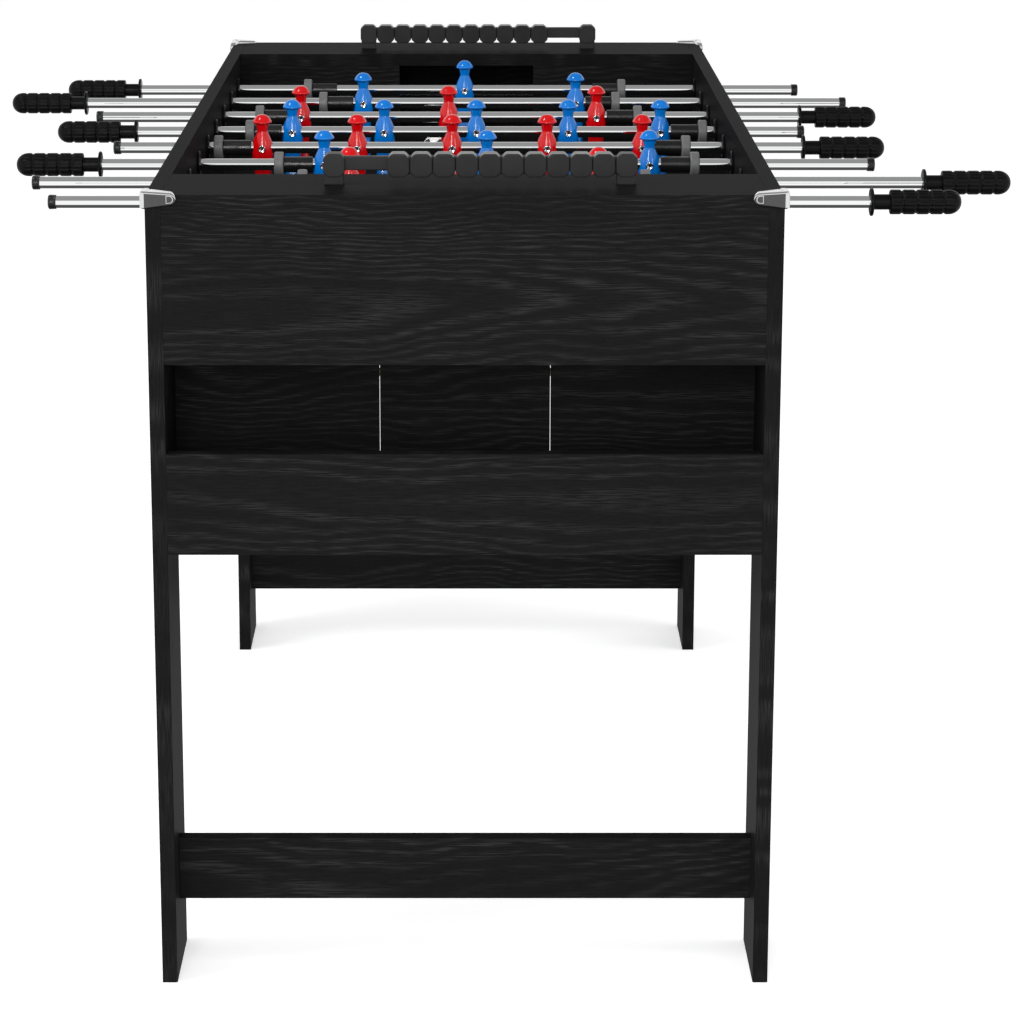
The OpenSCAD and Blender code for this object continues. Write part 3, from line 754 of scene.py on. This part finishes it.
def smooth_path(points, steps=4):
    """Catmull-Rom curve through tuples of numbers."""
    out = []
    n = len(points)
    for i in range(n - 1):
        p0, p1, p2, p3 = (points[max(0, min(n - 1, i + j))] for j in (-1, 0, 1, 2))
        for step in range(steps):
            t = step / steps
            out.append(tuple(0.5 * (2 * b + (c - a) * t + (2 * a - 5 * b + 4 * c - d) * t * t
                                    + (3 * b - a - 3 * c + d) * t ** 3)
                             for a, b, c, d in zip(p0, p1, p2, p3)))
    out.append(points[-1])
    return out


def man_mesh():
    """One man round the rod axis: hat, head, pear-shaped body and a leg block with a curved sole.

    Each section is (height, half width, half depth, squareness) in millimetres.
    """
    lo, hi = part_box("rod_1_men")
    foot_r = (mid("rod_1_men").z - lo.z + (hi.z - lo.z) / 2) / MM
    axis = mid("rod_1_tube").z
    sole, top = (lo.z - axis) / MM, (hi.z - axis) / MM
    sections = [
        (top, 0.4, 0.4, 2), (top - 0.2, 2.6, 2.6, 2), (top - 1.0, 4.9, 4.9, 2),
        (top - 2.3, 6.7, 6.7, 2), (top - 4.0, 8.3, 8.3, 2), (top - 5.8, 9.6, 9.5, 2),
        (top - 7.4, 10.5, 10.3, 2), (top - 8.6, 10.8, 10.6, 2), (top - 9.5, 10.2, 10.0, 2),
        (top - 10.2, 8.6, 8.5, 2), (top - 11.2, 7.2, 7.2, 2), (top - 13.4, 6.6, 6.6, 2),
        (top - 16, 6.0, 6.1, 2), (19.3, 5.7, 5.9, 2), (17.2, 6.2, 6.2, 2),
        (13.5, 7.9, 7.4, 2.1), (9, 9.9, 8.8, 2.1),
        (4.5, 11.2, 9.9, 2.2), (0, 11.9, 10.6, 2.2), (-4.5, 12.0, 10.8, 2.3),
        (-9, 11.9, 10.4, 2.5), (-13.5, 11.2, 9.2, 2.8), (-18, 10.1, 7.8, 3.2),
        (-24, 9.2, 6.5, 3.6), (-31, 8.9, 6.1, 4), (-38, 8.9, 6.3, 4), (-44, 9.0, 7.4, 4.4),
        (-49, 9.0, 8.3, 5), (sole + 3.2, 9.0, 8.5, 5), (sole + 1.4, 8.9, 8.4, 5)]
    around = 40
    bm = bmesh.new()
    rings = []
    for z, half_x, half_y, square in smooth_path(sections, 3):
        ring = []
        for i in range(around):
            c, s = math.cos(TURN * i / around), math.sin(TURN * i / around)
            grow = (abs(c) ** square + abs(s) ** square) ** (-1 / square)
            ring.append(bm.verts.new((half_x * grow * c * MM, half_y * grow * s * MM, z * MM)))
        rings.append(ring)
    for shrink in (0.93, 0.6, 0.25):
        ring = []
        for vert in rings[-1]:
            x, y = vert.co.x * shrink, vert.co.y * shrink
            ring.append(bm.verts.new((x, y, -math.sqrt((foot_r * MM) ** 2 - y * y))))
        rings.append(ring)
    for a, b in zip(rings, rings[1:]):
        for i in range(around):
            j = (i + 1) % around
            bm.faces.new((a[i], a[j], b[j], b[i]))
    bm.faces.new(rings[0])
    bm.faces.new(rings[-1])
    bm = cut(bm, cylinder(TUBE_R + 0.08 * MM, 40 * MM, 48))
    seat_r, seat_l = 4.2 * MM, 10 * MM
    seat = cylinder(seat_r, seat_l, 32)
    bmesh.ops.transform(seat, matrix=Matrix.Translation((0, -(SEAT_OUT + seat_l / 2), 0))
                        @ TO_FRONT, verts=seat.verts)
    return as_mesh(cut(bm, seat), "man")


def socket_screw():
    """Dished screw head that faces -Y at y = 0. Its socket has the second material, a black that
    paints the shade inside the socket.
    """
    r, socket_r, dish = 4.0 * MM, 1.5 * MM, 1.7 * MM
    outline = [(2.5 * MM, 0), (2.5 * MM, 2.4 * MM), (1.3 * MM, r), (0.5 * MM, r),
               (0.12 * MM, r - 0.25 * MM), (0, r - 0.55 * MM), (0.15 * MM, r - 0.85 * MM),
               (dish - 0.2 * MM, socket_r + 0.25 * MM), (dish, socket_r),
               (dish + 0.4 * MM, socket_r), (dish + 0.4 * MM, 0)]
    head = lathe(outline, 40)
    # The socket's walls and floor take the second material: black as painted shade, where the
    # plated metal would be.
    for face in head.faces:
        centre = face.calc_center_median()
        face.material_index = int(math.hypot(centre.y, centre.z) < socket_r * 1.01
                                  and centre.x < 2.4 * MM)
    bmesh.ops.transform(head, matrix=TO_FRONT, verts=head.verts)
    return as_mesh(head, "socket_screw")


def grip_mesh(length):
    """Handle from its flange at x = 0: flange, neck, and a fluted grip in five rounded rings."""
    flange_r, flange_t, neck_r, neck_end = 14.25 * MM, 3.2 * MM, 7.8 * MM, 20 * MM
    grip_r, tip, depth, flutes = 12.5 * MM, 13 * MM, 1.2 * MM, 14
    first_groove = 12 * MM
    outline = [(0, 0), (0, neck_r)]
    outline += fillet((0, flange_r), (0, 0), (flange_t, flange_r), 1.4 * MM)
    outline += fillet((flange_t, flange_r), (0, flange_r), (flange_t, 0), 1.4 * MM)
    outline += [(flange_t, neck_r + 1 * MM), (flange_t + 0.8 * MM, neck_r),
                (neck_end - 0.2 * MM, neck_r)]
    outline += fillet((neck_end, grip_r), (neck_end, 0), (length, grip_r), 1.2 * MM)
    ring_steps, groove_half = 16, 1.6 * MM
    straight = length - tip - neck_end
    steps = int(straight / SEGMENT * ring_steps)
    for i in range(2, steps + 1):
        x = neck_end + straight * i / steps
        from_groove = abs((x - neck_end - first_groove + SEGMENT / 2) % SEGMENT - SEGMENT / 2)
        dip = 0
        if x > neck_end + SEGMENT / 2:
            dip = depth * max(0, 1 - (from_groove / groove_half) ** 2) ** 0.7
        outline.append((x, grip_r - dip))
    outline += [(length - tip + tip * math.sin(t), grip_r * math.cos(t) ** 0.92)
                for t in (TURN / 4 * i / 12 for i in range(1, 12))]
    outline.append((length, 0))

    def flute(x, radius, angle):
        if x < neck_end + 1 * MM:
            return radius
        fade = min(1, (x - neck_end) / (2 * MM), max(0, (length - 2.5 * MM - x) / (9 * MM)))
        return radius - fade * 0.75 * MM * (0.5 - 0.5 * math.cos(flutes * angle)) ** 3

    return as_mesh(lathe(outline, 112, flute), "grip")


def end_cap_mesh(length):
    """Cap over the end of a tube, closed at x = 0, with three fine ribs."""
    r = 7.4 * MM
    between_ribs = r - 0.35 * MM
    outline = [(0, 0), (0, r - 1.2 * MM), (0.8 * MM, between_ribs)]
    for i in range(3):
        at = (1.7 + 1.9 * i) * MM
        outline += [(at - 0.4 * MM, r), (at + 0.5 * MM, r), (at + 0.8 * MM, between_ribs),
                    (at + 1.2 * MM, between_ribs)]
    outline += [(length - 0.3 * MM, r), (length, r - 0.3 * MM), (length, 0)]
    return as_mesh(lathe(outline, 48), "end_cap")


def ring_mesh(width, outer, inner, round_by):
    """Ring round X, centred."""
    a, b = -width / 2, width / 2
    wall = [(a, inner), *fillet((a, outer), (a, inner), (b, outer), round_by),
            *fillet((b, outer), (a, outer), (b, inner), round_by), (b, inner)]
    return as_mesh(tube_of(wall, 56), "ring")


MAN = man_mesh()
MAN_SCREW = socket_screw()
SLEEVE_SCREW = screw_head(1.9 * MM, 0.5 * MM, 0.5 * MM, (1 * MM, 1.1 * MM, 0.25 * MM))
GRIP_MESH = grip_mesh(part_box("rod_1_handle")[1].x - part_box("rod_1_handle")[0].x)
END_CAP = end_cap_mesh(8 * MM)
STOP_RING = ring_mesh(RING_W, RING_R, TUBE_R + 0.05 * MM, 1.6 * MM)
SLEEVE_RING = ring_mesh(SLEEVE_L, SLEEVE_R, TUBE_R + 0.05 * MM, 1.0 * MM)


def rod(k):
    """Rod k: the tube, which slides, and its men, handle and stops, which also turn."""
    count = MEN_PER_ROD[k - 1]
    axis = rod_axis[k]
    tube_lo, tube_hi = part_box(f"rod_{k}_tube")
    handle_lo, handle_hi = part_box(f"rod_{k}_handle")
    red_team = handle_lo.x > 0
    handle_on_right = red_team
    tube = lathe([(tube_lo.x, 0), (tube_lo.x, TUBE_R), (tube_hi.x, TUBE_R), (tube_hi.x, 0)], 72)
    bmesh.ops.translate(tube, vec=(0, axis.y, axis.z), verts=tube.verts)
    piece(f"rod_{k}_chrome", tube, CHROME, f"rod_{k}", [f"rod_{k}_tube"])

    turning = f"rod_{k}_turning"
    men_lo, men_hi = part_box(f"rod_{k}_men")
    first, last = men_lo.x + HALF_MAN, men_hi.x - HALF_MAN
    men = bmesh.new()
    for i in range(count):
        x = (men_lo.x + men_hi.x) / 2 if count == 1 else first + (last - first) * i / (count - 1)
        add_mesh(men, MAN, (x, axis.y, axis.z))
        add_mesh(men, MAN_SCREW, (x, axis.y - MAN_SCREW_OUT, axis.z), material=1)
    # The third material, black, paints the shade inside the screws' sockets.
    piece(f"rod_{k}_figures", men, (RED if red_team else BLUE, SCREW, SLEEVE_BLACK_AND_SOCKET_SHADE), turning,
          [f"rod_{k}_men"], sharp=50)

    grip = bmesh.new()
    add_mesh(grip, GRIP_MESH, (handle_lo.x if handle_on_right else handle_hi.x, axis.y, axis.z),
             mirror_x=not handle_on_right)
    piece(f"rod_{k}_grip", grip, GRIP, turning, [f"rod_{k}_handle"], sharp=50)

    # The end cap is on the end without the handle, so the box's other end is a stop ring's.
    bumper_lo, bumper_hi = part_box(f"rod_{k}_bumpers")
    fit = bmesh.new()
    centre = (first + last) / 2
    ring_outer = bumper_hi.x - centre if handle_on_right else centre - bumper_lo.x
    for sign in (-1, 1):
        ring_x = centre + sign * (ring_outer - RING_W / 2)
        sleeve_x = centre + sign * (ring_outer - RING_W - SLEEVE_L / 2)
        add_mesh(fit, STOP_RING, (ring_x, axis.y, axis.z), material=1)
        add_mesh(fit, SLEEVE_RING, (sleeve_x, axis.y, axis.z))
        add_mesh(fit, SLEEVE_SCREW, (sleeve_x, axis.y - SLEEVE_SCREW_OUT, axis.z),
                 turn=TO_FRONT, material=2)
    cap_x = bumper_lo.x if handle_on_right else bumper_hi.x
    add_mesh(fit, END_CAP, (cap_x, axis.y, axis.z), mirror_x=not handle_on_right)
    piece(f"rod_{k}_stops", fit, (SLEEVE_BLACK_AND_SOCKET_SHADE, RUBBER, SLEEVE_BLACK_AND_SOCKET_SHADE), turning,
          [f"rod_{k}_bumpers"], sharp=40)


for k in RODS:
    rod(k)


# ---------------------------------------------------------------- ball

def ball():
    """Ball with twelve dark five-sided patches."""
    lo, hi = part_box("ball")
    centre, radius = (lo + hi) / 2, (hi.z - lo.z) / 2
    bm = bmesh.new()
    bmesh.ops.create_icosphere(bm, subdivisions=1, radius=1)
    bm.edges.ensure_lookup_table()
    third = bm.edges[0].calc_length() / 3
    bmesh.ops.bevel(bm, geom=bm.verts[:], offset=third, segments=1, affect="VERTICES")
    for face in bm.faces:
        face.material_index = 1 if len(face.verts) == 5 else 0
    bmesh.ops.inset_individual(bm, faces=bm.faces[:], thickness=0.022)
    bmesh.ops.triangulate(bm, faces=bm.faces[:])
    bmesh.ops.subdivide_edges(bm, edges=bm.edges[:], cuts=5, use_grid_fill=True)
    for vert in bm.verts:
        vert.co = vert.co.normalized() * radius + centre
    piece("ball_patched", bm, (BALL_WHITE, BALL_BLACK), "ball", ["ball"], sharp=60)


ball()


# ---------------------------------------------------------------- stage, light and camera

def studio():
    """White floor and surroundings, broad lamps, and strips that show only in moulded pieces."""
    floor_mesh = bpy.data.meshes.new("floor")
    reach = 40
    floor_mesh.from_pydata([(-reach, -reach, 0), (reach, -reach, 0), (reach, reach, 0),
                            (-reach, reach, 0)], [], [(0, 1, 2, 3)])
    floor = bpy.data.objects.new("floor", floor_mesh)
    bpy.context.scene.collection.objects.link(floor)
    pale = Shader("floor_pale", Roughness=1.0, Specular_IOR_Level=0.0)
    mottle = pale.noise(pale.place(), 0.6, 2)
    whites = (0.93, 0.93, 0.93), (0.95, 0.95, 0.95)
    pale.put(pale.bsdf.inputs["Base Color"], pale.mix(mottle, *whites))
    pale.put(pale.bsdf.inputs["Emission Color"], (1, 1, 1))
    pale.put(pale.bsdf.inputs["Emission Strength"], 0.52)
    floor_mesh.materials.append(pale.material)
    floor.visible_glossy = False

    world = bpy.data.worlds.new("studio")
    bpy.context.scene.world = world
    world.use_nodes = True
    tree = world.node_tree
    background = tree.nodes["Background"]
    direction = tree.nodes.new("ShaderNodeTexCoord")
    split = tree.nodes.new("ShaderNodeSeparateXYZ")
    tree.links.new(direction.outputs["Generated"], split.inputs[0])
    height = tree.nodes.new("ShaderNodeMapRange")
    height.inputs["From Min"].default_value = -1
    tree.links.new(split.outputs[2], height.inputs[0])
    ramp = tree.nodes.new("ShaderNodeValToRGB")
    tree.links.new(height.outputs[0], ramp.inputs[0])
    tree.links.new(ramp.outputs[0], background.inputs[0])
    stops = [(0.0, 0.08), (0.13, 0.08), (0.16, 1.0), (0.745, 1.0), (0.775, 0.3), (1.0, 0.3)]
    elements = ramp.color_ramp.elements
    while len(elements) < len(stops):
        elements.new(0.5)
    for element, (place, value) in zip(elements, stops):
        element.position = place
        element.color = (value, value, value, 1)
    background.inputs[1].default_value = 1.0

    def lamp(name, at, aim, size, power, only=()):
        """Area light. With only, it lights just those pieces and shows in their gloss."""
        data = bpy.data.lights.new(name, "AREA")
        data.energy, data.shape = power, "RECTANGLE"
        data.size, data.size_y = size
        obj = bpy.data.objects.new(name, data)
        obj.location = at
        obj.rotation_euler = (Vector(aim) - Vector(at)).to_track_quat("-Z", "Y").to_euler()
        obj.visible_glossy = bool(only)
        bpy.context.scene.collection.objects.link(obj)
        if only:
            lit = bpy.data.collections.new(name + "_lit")
            for receiver in only:
                lit.objects.link(receiver)
            obj.light_linking.receiver_collection = lit

    table_middle, men = (0, 0, 0.7), (0, 0, 0.75)
    lamp("top", (-0.8, -0.6, 4.2), table_middle, (3.0, 3.0), 18)
    lamp("left", (-3.6, -1.6, 2.6), table_middle, (2.0, 2.0), 60)
    lamp("right", (3.6, -0.6, 2.6), table_middle, (2.0, 2.0), 40)
    lamp("front", (-0.45, -4.4, 1.9), men, (1.5, 2.2), 75)
    endings = "_figures", "_grip", "_stops", "_round", "_posts_and_bar", "_patched"
    moulded = [obj for obj in bpy.data.objects if obj.name.endswith(endings)]
    lamp("strip", (-0.42, -4.0, 1.85), men, (0.22, 2.0), 52, moulded)
    lamp("strip_right", (2.0, -3.8, 1.85), men, (0.15, 1.8), 18, moulded)
    lamp("crown", (-1.7, -0.8, 3.8), men, (0.6, 0.6), 32, moulded)


def camera():
    """Long lens in front of the near end, tilted down, with a small shift for the framing."""
    tilt_down = 13.35
    data = bpy.data.cameras.new("camera")
    data.sensor_width = 36
    data.lens = 112.7
    data.shift_x, data.shift_y = 0.04, -0.1
    data.clip_end = 200
    obj = bpy.data.objects.new("camera", data)
    obj.location = (0.006, -3.604, 1.303)
    obj.rotation_euler = (math.radians(90 - tilt_down), 0, 0)
    bpy.context.scene.collection.objects.link(obj)
    bpy.context.scene.camera = obj


studio()
camera()
bpy.context.scene.view_settings.view_transform = "Standard"
